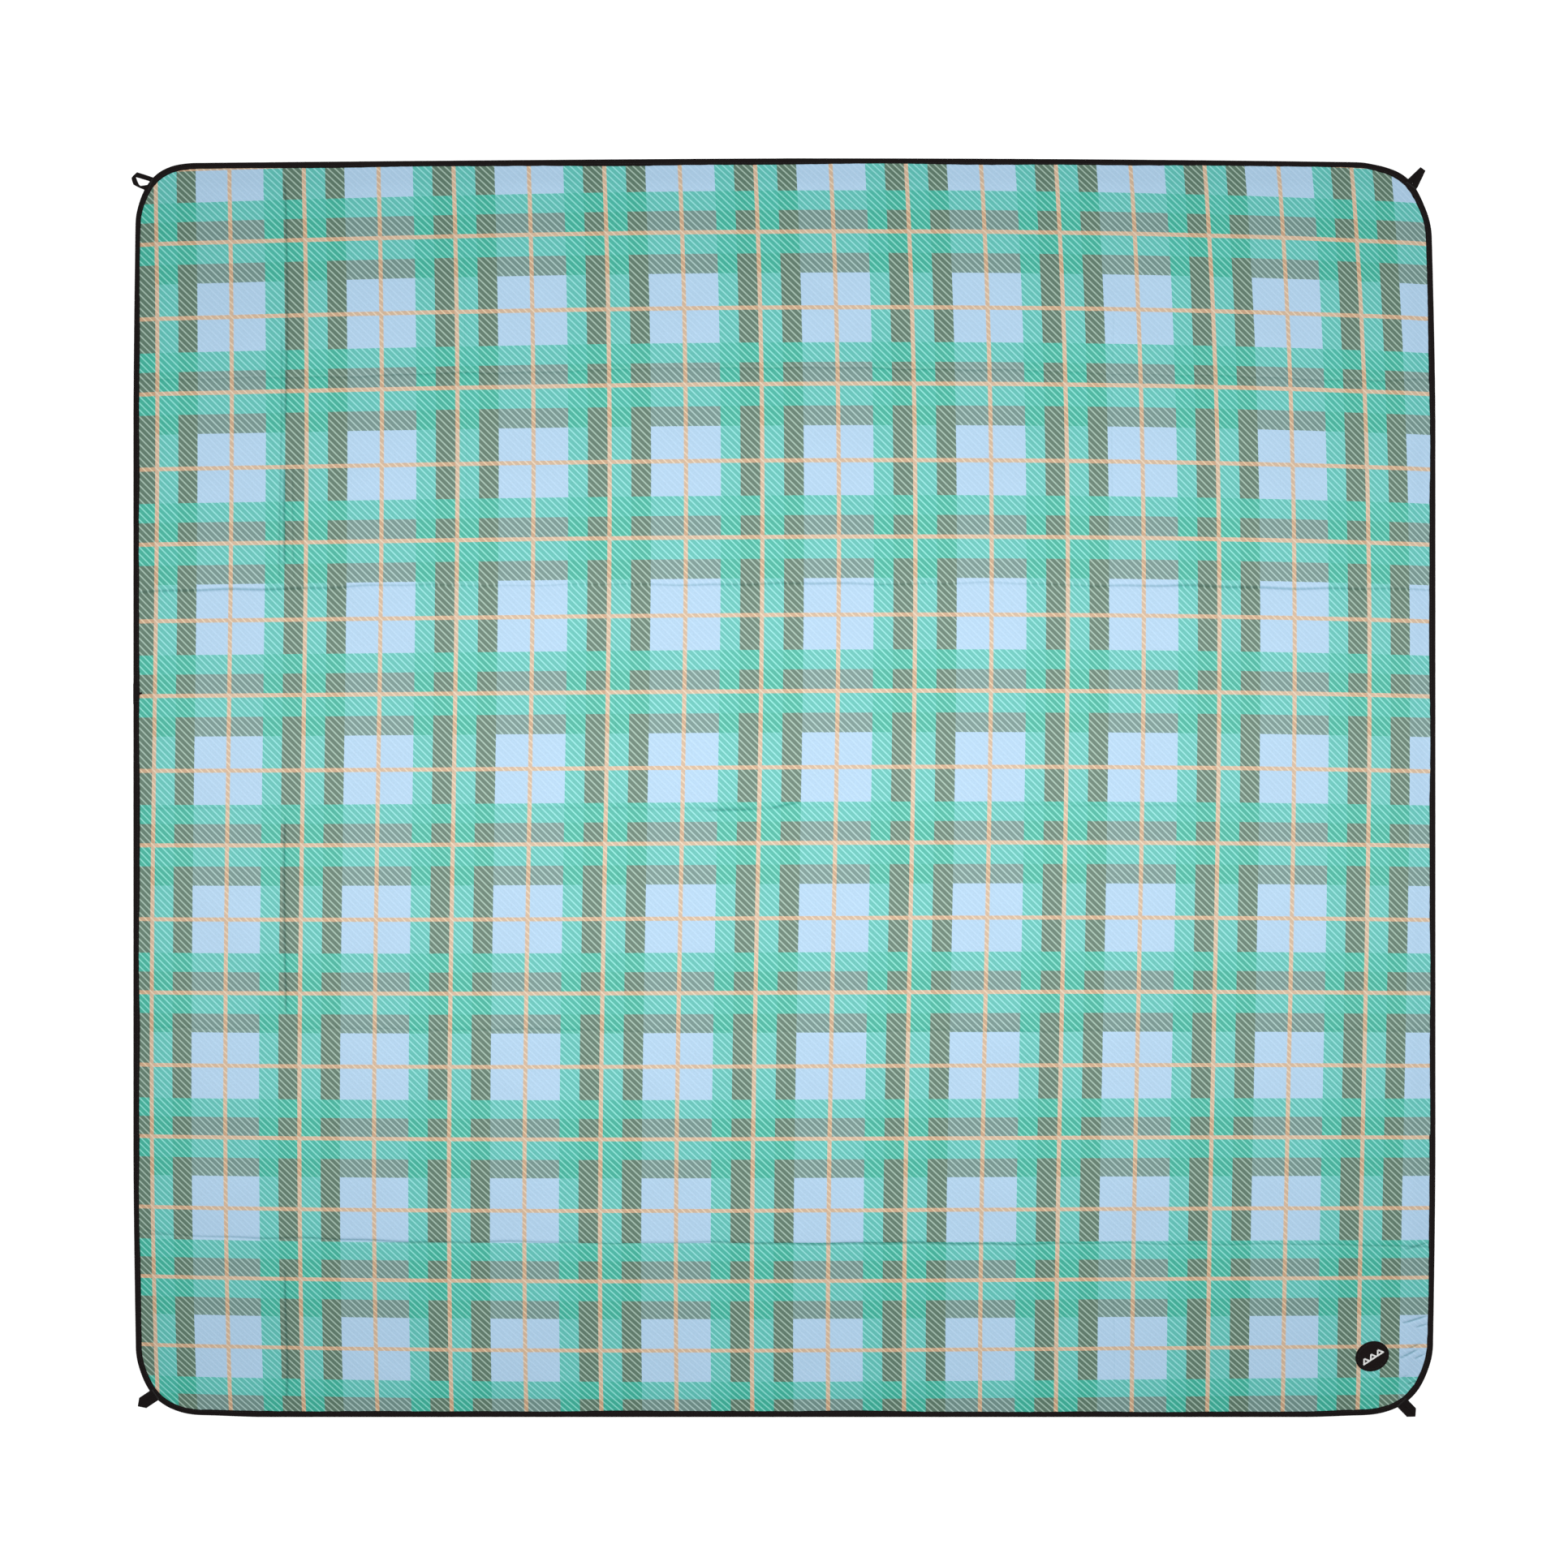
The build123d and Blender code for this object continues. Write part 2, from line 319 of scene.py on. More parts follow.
# Weaker creases the other way: where, over which stretches, their depth.
CROSS_CREASES = (
    {"x": -594, "spans": ((420, 742), (250, 400), (-283, -24), (-745, -560)), "depth": 1.1},
    {"x": -600, "spans": ((235, 560),), "depth": 0.6},
    {"x": -380, "spans": ((300, 740), (-740, -600)), "depth": 0.25},
    {"x": -200, "spans": ((-260, 200), (520, 740)), "depth": 0.25},
    {"x": 4, "spans": ((-530, -300), (250, 480)), "depth": 0.22},
    {"x": 391, "spans": ((-740, -550), (240, 600)), "depth": 0.25},
    {"x": -584, "spans": ((240, 400),), "depth": 0.5},
)
CROSS_WIDTH = 1.6

# Short puckers and wrinkles, from one end to the other, with their depth.
WRINKLES = (
    ((735, -639), (768, -629), 1.2),
    ((753, -643), (768, -639), 0.9),
    ((744, -669), (760, -662), 0.9),
    ((733, -681), (757, -669), 1.2),
    ((752, -681), (765, -675), 0.9),
    ((738, -700), (750, -706), 0.8),
    ((742, -712), (760, -705), 0.9),
    ((736, -551), (769, -541), 0.8),
    ((-102, -27), (-20, -25), 0.8),
    ((-20, -25), (22, -16), 0.8),
    ((-768, -524), (-733, -532), 0.6),
)
WRINKLE_WIDTH = 1.2
WRINKLE_STEP = 0.75


def groove(away, width):
    """A crease's profile: 1 at its line, fading with soft shoulders."""
    return np.exp(-((np.abs(away) / width) ** 1.4))


def crease_depth(x, y):
    """How deep the creases and wrinkles are at each point."""
    depth = np.zeros(x.shape)
    for number, crease in enumerate(LONG_CREASES):
        course = np.array(crease["course"], float)
        line = np.interp(x, course[:, 0], course[:, 1])
        line = line + 0.8 * np.sin(x / 37.0 + number) + 0.5 * np.sin(x / 13.0 + 2 * number)
        strength = 0.85 + 0.25 * np.sin(x / 90.0 + 1.7 * number)
        strength = strength * np.interp(x, course[:, 0], course[:, 2])
        depth += strength * groove(y - line, crease["width"])
    for number, crease in enumerate(CROSS_CREASES):
        line = crease["x"] + 1.5 * np.sin(y / 70.0 + number)
        for low, high in crease["spans"]:
            ends = smooth((y - low) / 30) * smooth((high - y) / 30)
            depth += crease["depth"] * ends * groove(x - line, CROSS_WIDTH)
    for start, end, deep in WRINKLES:
        start, end = np.array(start, float), np.array(end, float)
        run = end - start
        t = ((x - start[0]) * run[0] + (y - start[1]) * run[1]) / (run @ run)
        held = np.clip(t, 0, 1)
        away = np.hypot(x - start[0] - held * run[0], y - start[1] - held * run[1])
        depth += deep * groove(away, WRINKLE_WIDTH) * smooth(4 * held * (1 - held) + 0.15)
    return depth


def edge_puckers(x, y):
    """The binding's seam gathers the cloth in small puckers that run away from it."""
    from_side, from_end = HALF_X - np.abs(x), HALF_Y - np.abs(y)
    pitch, reach = 27.0, 13.0
    along_side = ripple(y, 0.0, pitch, 21) * np.exp(-from_side / reach)
    along_end = ripple(x, 0.0, pitch, 22) * np.exp(-from_end / reach)
    return along_side + along_end


def badge_place():
    """The middle of the badge and half its size."""
    low, high = box("badge")
    return (low + high) / 2, (high - low) / 2


def swell(x, y):
    """The padding's own gentle unevenness, kept flat under the badge. Nowhere is it
    higher than the folded blanket leaves room for."""
    most = 0.32
    centre, half = badge_place()
    clear = smooth((np.hypot(x - centre[0], y - centre[1]) - max(half[:2]) - 2) / 25)
    uneven = 0.24 * ripple(x, y, 120.0, 11) + 0.11 * ripple(x, y, 48.0, 12)
    return clear * most * np.tanh(uneven / most)


def top_height(x, y):
    """The printed cloth's upper face."""
    inside = inset(x, y)
    rise = smooth((inside - PINCH_INSET) / TOP_SHOULDER)
    height = RIM_TOP + (FULL_TOP - RIM_TOP) * rise
    height += swell(x, y) * smooth((inside - PINCH_INSET) / 30)
    height += 0.16 * edge_puckers(x, y) * smooth((inside - PINCH_INSET + 2) / 8)
    return height - crease_depth(x, y) * smooth((inside - PINCH_INSET + 3) / 6)


def under_height(x, y):
    """The backing's lower face, which lies on the floor but for its rim and creases."""
    inside = inset(x, y)
    lift = 1 - smooth((inside - PINCH_INSET) / UNDER_SHOULDER)
    crease = 0.3 * crease_depth(x, y) * smooth((inside - PINCH_INSET) / 8)
    return FULL_UNDER + (RIM_UNDER + TAPE_THICKNESS / 2 - FULL_UNDER) * lift + crease


def print_place(x, y):
    """Where each point falls on the plaid print, in periods across and down. The
    print is stretched a little unevenly, and the sharpest crease swallows some."""
    u, v = (x + 0.5) / 773.6, (y - 0.6) / 748.7
    across = (
        8.323 + 8.473 * u - 0.147 * v + 0.083 * v**2 + 0.132 * v**3 + 0.018 * u * v
        + 0.127 * u * v**2 - 0.016 * u**2 + 0.060 * u**2 * v + 0.102 * u**3
    ) / 2
    down = (
        7.271 - 8.286 * v + 0.232 * v**2 - 0.188 * v**3 + 0.04 * u + 0.011 * u * v
        - 0.048 * u**2 - 0.141 * u**2 * v - 0.044 * u**3
    ) / 2
    course = np.array(LONG_CREASES[1]["course"], float)
    above = y - np.interp(x, course[:, 0], course[:, 1])
    swallowed = np.tanh(above / 1.2) * np.exp(-np.abs(above) / 90) * 1.2 / PRINT_PERIOD
    return across, down + swallowed


# ======== mesh making ========

def make_piece(name, points, faces, material, slot, maps=None, layers=None):
    """A mesh object from points in millimetres. maps holds a UV pair for each point,
    and layers holds a plain number for each point."""
    mesh = bpy.data.meshes.new(name)
    mesh.from_pydata((np.asarray(points) * MM).tolist(), [], faces)
    corner_points = np.empty(len(mesh.loops), np.int32)
    mesh.loops.foreach_get("vertex_index", corner_points)
    for map_name, pairs in (maps or {}).items():
        layer = mesh.uv_layers.new(name=map_name)
        layer.data.foreach_set("uv", np.asarray(pairs, np.float32)[corner_points].ravel())
    for layer_name, numbers in (layers or {}).items():
        layer = mesh.attributes.new(layer_name, "FLOAT", "POINT")
        layer.data.foreach_set("value", np.asarray(numbers, np.float32))
    mesh.shade_smooth()
    mesh.set_sharp_from_angle(angle=SHARP_TURN)
    mesh.materials.append(material)
    piece = put(name, mesh)
    return piece


def flat_on_top(points):
    """The cloth map of a small piece: its own x and y in metres."""
    return {"cloth": points[:, :2] * MM}


def grid_quads(rows, columns):
    """The faces of a grid of points that is stored row by row."""
    index = np.arange(rows * columns).reshape(rows, columns)
    quads = stacked(index[:-1, :-1], index[:-1, 1:], index[1:, 1:], index[1:, :-1])
    return quads.reshape(-1, 4)


def slab(top, under):
    """Points and faces of a closed body between two grids of the same layout."""
    rows, columns = top.shape[:2]
    count = rows * columns
    quads = grid_quads(rows, columns)
    index = np.arange(count).reshape(rows, columns)
    rim = np.concatenate([index[0], index[1:, -1], index[-1, -2::-1], index[-2:0:-1, 0]])
    after = np.roll(rim, -1)
    walls = stacked(rim + count, after + count, after, rim)
    faces = np.concatenate([quads, quads[:, ::-1] + count, walls])
    points = np.concatenate([top.reshape(-1, 3), under.reshape(-1, 3)])
    return points, faces.tolist()


def ring_walls(index):
    """The faces between each ring of point numbers and the next."""
    beside = np.roll(index, -1, axis=1)
    return stacked(index[:-1], index[1:], beside[1:], beside[:-1]).reshape(-1, 4).tolist()


def tubes(paths, radius, sides=6):
    """Closed round threads along many paths at once. paths is (threads, points, 3),
    and radius is one number or one for each point of a path."""
    count, steps = paths.shape[:2]
    along = np.gradient(paths, axis=1)
    along /= np.linalg.norm(along, axis=2, keepdims=True)
    across = np.cross(np.broadcast_to([0.0, 0.0, 1.0], along.shape), along)
    across /= np.maximum(np.linalg.norm(across, axis=2, keepdims=True), 1e-9)
    upward = np.cross(along, across)
    turns = np.linspace(0, 2 * math.pi, sides, endpoint=False)
    reach = np.broadcast_to(radius, steps)[None, :, None, None]
    cos, sin = np.cos(turns)[:, None], np.sin(turns)[:, None]
    ring = across[:, :, None, :] * cos + upward[:, :, None, :] * sin
    points = (paths[:, :, None, :] + reach * ring).reshape(-1, 3)
    index = np.arange(count * steps * sides).reshape(count, steps, sides)
    beside = np.roll(index, -1, axis=2)
    walls = stacked(index[:, :-1], beside[:, :-1], beside[:, 1:], index[:, 1:])
    first = index[:, 0, ::-1].reshape(-1, sides)
    last = index[:, -1, :].reshape(-1, sides)
    return points, walls.reshape(-1, 4).tolist() + first.tolist() + last.tolist()


def join(parts):
    """One point and face list from several."""
    points, faces, start = [], [], 0
    for part_points, part_faces in parts:
        points.append(part_points)
        faces += [[corner + start for corner in face] for face in part_faces]
        start += len(part_points)
    return np.concatenate(points), faces


def stretch_limits(number):
    """The low and high y of the stretch that bends at a fold, from 0 for the head's."""
    middles = (FOLD_Y[1:] + FOLD_Y[:-1]) / 2
    cuts = np.concatenate([[HALF_Y], middles, [-HALF_Y]])
    return cuts[number + 1], cuts[number]


def bend(piece, kind, number):
    """Hides the CAD node of the head row that the piece replaces, and for the last piece
    the foot row's too, and bakes the piece's placement into its mesh."""
    rows = (number + 1, number + 2) if number == FOLD_COUNT - 1 else (number + 1,)
    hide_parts(*[f"{kind}_row{row}" for row in rows])
    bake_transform(piece)


def take_place(piece, node, body):
    """The piece replaces one CAD node and rides on one body."""
    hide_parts(node)
    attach(piece, body)


def make_thread(name, stitches, material, node, body):
    """A piece of thread that takes the place of one CAD node."""
    take_place(make_piece(name, *stitches, material, "thread"), node, body)


# ======== cloths and wadding ========

def fold_steps(at, coarse=COARSE_STEP):
    """Steps along y that are fine at the folds."""
    return near(at, FOLD_Y, FOLD_BAND, FOLD_STEP, coarse)


def plan_grid(number, coarse, margin):
    """A stretch's plan: x and y of each grid point, rows from its foot to its head."""
    low, high = stretch_limits(number)
    low = max(low, -HALF_Y + margin)
    high = min(high, HALF_Y - margin)
    half_x = HALF_X - margin

    def row_steps(at):
        steps = near(at, (-HALF_Y, HALF_Y), EDGE_BAND, EDGE_STEP, coarse)
        for start, end, _ in WRINKLES:
            middle, reach = (start[1] + end[1]) / 2, abs(start[1] - end[1]) / 2 + WRINKLE_WIDTH
            steps = np.minimum(steps, near(at, [middle], reach, WRINKLE_STEP, coarse))
        return np.minimum(fold_steps(at, coarse), steps)

    def column_steps(at):
        sides = near(at, (-HALF_X, HALF_X), EDGE_BAND, EDGE_STEP, coarse)
        creases = [crease["x"] for crease in CROSS_CREASES]
        return np.minimum(near(at, creases, CROSS_BAND, CROSS_STEP, coarse), sides)

    rows = graded(low, high, row_steps)
    columns = graded(-half_x, half_x, column_steps)
    x, y = np.meshgrid(columns, rows)
    return round_corners(x, y, margin)


def laid(x, y, z):
    """Points of the laid blanket over plan points."""
    return stacked(*settle(x, y), z)


def cloth_maps(x, y):
    """Where each point is on its flat cloth, in metres, and on the print, in periods."""
    flat = stacked(x, y).reshape(-1, 2) * MM
    printed = stacked(*print_place(*settle(x, y))).reshape(-1, 2)
    return {"cloth": np.tile(flat, (2, 1)), "print": np.tile(printed, (2, 1))}


def make_cloth(kind, number, plan, upper, material, slot):
    """A stretch of cloth whose upper face has this height, laid on its support."""
    x, y = plan
    points, faces = slab(laid(x, y, upper), laid(x, y, upper - CLOTH_THICKNESS))
    # Crease depth at each point: the printed cloth paints shade along it, and the backing rubbed wear.
    pressed = np.tile(crease_depth(x, y).ravel(), 2)
    piece = make_piece(
        f"{kind}_{number + 1}", points, faces, material, slot, cloth_maps(x, y), {"pressed": pressed},
    )
    bend(piece, kind, number)


def make_top_cloth(number, material):
    """The printed cloth, on the wadding."""
    plan = plan_grid(number, COARSE_STEP, CLOTH_INSET)
    make_cloth("top_cloth", number, plan, top_height(*plan), material, "printed_cloth")


def make_backing(number, material):
    """The backing, on the floor."""
    plan = plan_grid(number, BACKING_STEP, CLOTH_INSET)
    upper = under_height(*plan) + CLOTH_THICKNESS
    make_cloth("backing", number, plan, upper, material, "backing_cloth")


def make_padding(number, material):
    """The wadding fills what the two cloths leave, less a hair on each side."""
    x, y = plan_grid(number, PADDING_STEP, CLOTH_INSET + 0.6)
    upper = top_height(x, y) - CLOTH_THICKNESS - LAYER_CLEARANCE
    lower = under_height(x, y) + CLOTH_THICKNESS + LAYER_CLEARANCE
    tufts = 0.12 * (1 + ripple(x, y, 17.0, 31) / 3)
    inside = smooth((inset(x, y) - PINCH_INSET) / 20)
    upper = np.maximum(upper - inside * tufts, lower + 0.2)
    points, faces = slab(laid(x, y, upper), laid(x, y, lower))
    piece = make_piece(
        f"padding_{number + 1}", points, faces, material, "wadding", cloth_maps(x, y),
    )
    bend(piece, "padding", number)


# ======== binding and its seam ========

def side_run(start, end, side):
    """The rim along one side (1 for the right), from one y to another. A run is points
    on the outline and the directions that point in from them."""
    steps = graded(min(start, end), max(start, end), fold_steps)
    steps = steps if end > start else steps[::-1]
    return stacked(side * HALF_X, steps), np.tile([-float(side), 0.0], (len(steps), 1))


def end_run(start, end, side):
    """The rim along the head (1) or the foot (-1), from one x to another."""
    steps = np.linspace(start, end, round(abs(end - start) / COARSE_STEP) + 1)
    return stacked(steps, side * HALF_Y), np.tile([0.0, -float(side)], (len(steps), 1))


def corner_run(name, side_x, side_y, start_turn):
    """The rim round one corner, clockwise from this direction in degrees."""
    radius = CORNER_RADIUS[name]
    turns = np.radians(np.linspace(start_turn, start_turn - 90, round(radius * 0.63)))
    outward = stacked(np.cos(turns), np.sin(turns))
    centre = np.array([side_x * (HALF_X - radius), side_y * (HALF_Y - radius)])
    return centre + radius * outward, -outward


def chain(*runs):
    """One run from several that meet end to end."""
    points = [runs[0][0]] + [run[0][1:] for run in runs[1:]]
    inward = [runs[0][1]] + [run[1][1:] for run in runs[1:]]
    return np.concatenate(points), np.concatenate(inward)


def end_chain(cut, side, first, second):
    """The rim from a cut round the head (1) or foot (-1) and its two corners."""
    start, stop = HALF_X - CORNER_RADIUS[first], HALF_X - CORNER_RADIUS[second]
    return chain(
        side_run(cut, side * (HALF_Y - CORNER_RADIUS[first]), -side),
        corner_run(first, -side, side, 90 + 90 * side),
        end_run(-side * start, side * stop, side),
        corner_run(second, side, side, 90 * side),
        side_run(side * (HALF_Y - CORNER_RADIUS[second]), cut, side),
    )


def outline_runs(number):
    """The stretches of outline that a piece of binding covers, each clockwise."""
    low, high = stretch_limits(number)
    if number == 0:
        return [end_chain(low, 1, "head_left", "head_right")]
    if number == FOLD_COUNT - 1:
        return [end_chain(high, -1, "foot_right", "foot_left")]
    return [side_run(low, high, -1), side_run(high, low, 1)]


def along_run(points):
    """The distance along a run to each of its points."""
    steps = np.linalg.norm(np.diff(points, axis=0), axis=1)
    return np.concatenate([[0.0], np.cumsum(steps)])


def flat_map(distance, girth):
    """A UV pair in metres for each point of a tape, stored station by station."""
    return stacked(distance[:, None], girth[None, :]).reshape(-1, 2) * MM


def tape_section(width_top, width_under, grow=0.0):
    """The folded tape's middle line across its width, as insets and heights, from its
    lower inner edge round the nose to its upper inner edge. A seam presses it in."""
    middle_z = (TAPE_TOP_Z + TAPE_UNDER_Z) / 2
    half_z = (TAPE_TOP_Z - TAPE_UNDER_Z) / 2 + grow
    nose_depth = TAPE_NOSE - TAPE_THICKNESS / 2 + grow
    turns = np.radians(np.linspace(-90, 90, 9))
    nose = [(TAPE_NOSE - nose_depth * math.cos(t), middle_z + half_z * math.sin(t)) for t in turns]
    seam = SEAM_INSET
    leg = np.array([0.30 * seam, 0.55 * seam, seam - 0.7, seam, seam + 0.7])
    pressed = np.array([0, 0, 0.3, 1, 0.3]) * SEAM_PRESS
    under = [(width_under, middle_z - half_z)]
    under += [(e, middle_z - half_z + d) for e, d in zip(leg[::-1], pressed[::-1])]
    over = [(e, middle_z + half_z - d) for e, d in zip(leg, pressed)]
    over += [(width_top, middle_z + half_z)]
    return np.array(under + nose + over)


def thick_section(section, thickness):
    """Both faces of a section of this middle line, as one closed loop of points."""
    along = np.gradient(section, axis=0)
    along /= np.linalg.norm(along, axis=1, keepdims=True)
    outward = stacked(-along[:, 1], along[:, 0]) * thickness / 2
    return np.concatenate([section + outward, (section - outward)[::-1]])


def sweep(run_points, inward, sections):
    """Closed points and faces of sections carried along a run, with flat ends."""
    stations, ring = sections.shape[:2]
    plan = run_points[:, None, :] + inward[:, None, :] * sections[:, :, :1]
    points = laid(plan[..., 0], plan[..., 1], sections[..., 1]).reshape(-1, 3)
    index = np.arange(stations * ring).reshape(stations, ring)
    caps = []
    for row, flip in ((index[0].tolist(), 1), (index[-1].tolist(), -1)):
        for i in range(ring // 2 - 1):
            quad = [row[i], row[i + 1], row[ring - 2 - i], row[ring - 1 - i]]
            caps.append(quad[::flip])
    return points, ring_walls(index) + caps


def tape_width(distance, seed):
    """The visible width wanders a little along the tape."""
    slow, quick = ripple(distance, 0.0, 170.0, seed), ripple(distance, 0.0, 16.0, seed + 1)
    return TAPE_WIDTH + 0.45 * slow + 0.12 * quick


def make_binding(number, material):
    """The tape folded over the rim of one stretch."""
    parts, maps = [], []
    for turn, (points, inward) in enumerate(outline_runs(number)):
        distance = along_run(points)
        seed = 40 + 4 * number + 2 * turn
        widths = tape_width(distance, seed)
        section = np.stack([
            thick_section(tape_section(width, TAPE_WIDTH + 0.5), TAPE_THICKNESS) for width in widths
        ])
        hem = 0.05 * ripple(distance, 0.0, 19.0, seed + 7)
        section[..., 1] += hem[:, None] * (section[..., 1] > 2)
        parts.append(sweep(points, inward, section))
        ring = section.shape[1]
        girth = np.concatenate([np.arange(ring // 2), np.arange(ring // 2)[::-1]]) * 0.9
        maps.append(flat_map(distance, girth))
    points, faces = join(parts)
    maps = {"cloth": np.concatenate(maps)}
    piece = make_piece(f"binding_{number + 1}", points, faces, material, "binding_tape", maps)
    bend(piece, "binding", number)


def seam_stitches(number, height, bulge):
    """Separate stitches along the seam at this height, each arched by bulge."""
    parts = []
    for points, inward in outline_runs(number):
        line = points + inward * SEAM_INSET
        distance = along_run(line)
        starts = np.arange(0.4, distance[-1] - STITCH_LENGTH, STITCH_PITCH)
        at = starts[:, None] + STITCH_LENGTH * STITCH_SHARE
        x = np.interp(at, distance, line[:, 0])
        y = np.interp(at, distance, line[:, 1])
        thick = THREAD_RADIUS * np.array([0.75, 0.95, 1, 1, 0.95, 0.75])
        parts.append(tubes(laid(x, y, height + bulge * STITCH_ARCH), thick))
    return join(parts)


def make_seam(number, material):
    """The seam's threads on both faces, each half sunk in the tape."""
    sunk = 0.1
    top = TAPE_TOP_Z + TAPE_THICKNESS / 2 - SEAM_PRESS - sunk
    under = TAPE_UNDER_Z - TAPE_THICKNESS / 2 + SEAM_PRESS + sunk
    for side, height, bulge in (("top", top, 0.22), ("under", under, -0.16)):
        stitches = seam_stitches(number, height, bulge)
        piece = make_piece(f"seam_{side}_{number + 1}", *stitches, material, "thread")
        bend(piece, "seam_thread", number)


# ======== binding's lap ========

def make_lap_end(material):
    """The tape's end laps its start on the left side. A corner of the turned-in end
    peeps out past the inner edge."""
    (_, low, _), (_, high, _) = box("binding_lap")
    rows = np.linspace(low, high, 13)
    inward = np.tile([1.0, 0.0], (len(rows), 1))
    section = thick_section(tape_section(TAPE_WIDTH + 0.35, TAPE_WIDTH + 0.7, LAP_RISE), LAP_THICKNESS)
    sections = np.tile(section, (len(rows), 1, 1))
    slant = 0.6 * (rows - rows.mean()) / np.ptp(rows)
    sections[:, :, 0] += slant[:, None] * (sections[:, :, 0] > SEAM_INSET)
    body = sweep(stacked(-HALF_X, rows), inward, sections)

    reach = 3.4
    x, y = np.meshgrid(np.linspace(-2.0, reach, 7), np.linspace(-1.5, 1.5, 5))
    y = (low + high) / 2 + y * (1 - 0.35 * smooth(x / reach)) + 0.25 * x
    z = TAPE_TOP_Z + LAP_RISE + 0.25 * smooth(x / 4)
    x = x + TAPE_WIDTH - HALF_X
    tab = slab(laid(x, y, z + 0.2), laid(x, y, z - 0.25))
    points, faces = join([body, tab])
    maps = {"cloth": points[:, [1, 0]] * MM}
    piece = make_piece("binding_lap_end", points, faces, material, "binding_tape", maps)
    take_place(piece, "binding_lap", "row_3")


def make_lap_stitches(material):
    """Two short rows of stitches across the lap."""
    (_, low, _), (_, high, _) = box("binding_lap")
    z = TAPE_TOP_Z + LAP_RISE + LAP_THICKNESS / 2 - 0.05 + 0.16 * STITCH_ARCH
    starts = np.arange(1.4, TAPE_WIDTH - 1.6, 1.9) - HALF_X
    x = starts[:, None] + 1.5 * STITCH_SHARE
    stitches = join([tubes(laid(x, row, z), THREAD_RADIUS) for row in (low + 3, high - 3)])
    make_thread("lap_stitches", stitches, material, "lap_stitch", "row_3")


# ======== peg loops ========

class Seat:
    """A loop's own frame: out is the way it points, and side is a quarter turn from it."""

    def __init__(self, name):
        joint = JOINTS[f"swing_{name}"]
        self.name = name
        self.row = joint["parent"]
        self.body = joint["child"]
        self.side = np.array(joint["axis"][:2])
        self.out = np.array([-self.side[1], self.side[0]])
        self.cad = np.array(joint["pos_m"][:2]) / MM - SEAT_TO_AXIS * self.out
        self.at = np.array(settle(*self.cad))

    def place(self, local):
        """Blanket points from (out, side, height) points."""
        local = np.asarray(local, float)
        plan = self.at + local[..., :1] * self.out + local[..., 1:2] * self.side
        return np.concatenate([plan, local[..., 2:]], axis=-1)


LOOP_TAPE = 7.5
LOOP_TAPE_THICKNESS = 0.5


def open_loop():
    """Edges of a tape that is pulled open into a ring: its outer edge lies low, and
    its inner edge stands up where the ring looks narrow."""
    outer = [
        (-8, 9.0, 1.5), (-1.0, 8.8, 1.3), (8.5, 8.5, 0.9), (17.6, 7.9, 0.8), (20.2, 2.9, 0.8),
        (21.4, -0.9, 0.8), (19.0, -4.4, 0.8), (16.2, -7.5, 0.8), (9.0, -8.4, 0.9),
        (1.8, -8.7, 1.2), (-7, -8.9, 1.5),
    ]
    inner = [
        (-8, 3.1, 1.6), (0.9, 3.0, 1.7), (8.5, 2.4, 1.8), (16.4, 1.9, 1.7), (16.3, 1.5, 1.8),
        (15.8, 0.9, 1.9), (13.4, -1.7, 2.1), (10.2, -4.9, 2.4), (7.6, -6.2, 2.4),
        (0.6, -2.0, 1.8), (-7, -2.2, 1.6),
    ]
    return outer, inner


def straight_loop(reach, spread):
    """Edges of a tape folded straight back on itself, its two tails spread apart."""
    half = LOOP_TAPE / 2
    course = [
        (-7, -spread, 1.35), (0, -spread, 1.3), (reach * 0.5, -spread / 2, 1.05),
        (reach - 0.4, 0, 0.95), (reach, 0, 1.2), (reach - 0.4, 0, 1.45),
        (reach * 0.5, spread / 2, 1.6), (0, spread, 1.7), (-7, spread, 1.7),
    ]
    return [(s, t - half, z) for s, t, z in course], [(s, t + half, z) for s, t, z in course]


def pointed_loop(shoulder, point, skew):
    """Edges of a tape turned back by two slanting folds, so that its end is pointed.
    The inner edges of its tails overlap by a hair."""
    width = LOOP_TAPE
    overlap = 0.25
    lift = 0.28
    tip = shoulder + point
    lower, upper = 1.0, 1.5
    middle = (lower + upper) / 2
    tail = ((-7, 1.7), (0, 1.65), (0.6 * shoulder, 1.55))
    outer = [(s, -width, z) for s, z in tail]
    outer += [
        (shoulder, -width, upper), (shoulder + lift, -width - 0.1, middle),
        (shoulder, -width + 0.2, lower), (shoulder - 0.1, 0, lower - 0.05),
        (shoulder, width - 0.2, lower),
        (shoulder + lift, width + 0.1, middle), (shoulder, width, upper),
    ]
    outer += [(s, width, z) for s, z in tail[::-1]]
    inner = [(s, overlap, z + 0.2) for s, z in tail]
    inner += [
        (tip - 0.3, overlap, upper), (tip, 0, middle + 0.05), (tip - 0.3, 0, lower),
        (tip - 0.4, 0, lower - 0.05), (tip - 0.3, 0, lower), (tip, 0, middle),
        (tip - 0.3, -overlap, upper - 0.15),
    ]
    inner += [(s, -overlap, z - 0.2) for s, z in tail[::-1]]
    return tuple([(s, t + skew * s, z) for s, t, z in edge] for edge in (outer, inner))


LOOP_SHAPES = {
    "head_left": open_loop(),
    "head_right": straight_loop(21.6, 3.9),
    "foot_left": pointed_loop(15.0, 7.6, 0.02),
    "foot_right": pointed_loop(13.6, 7.2, -0.02),
}


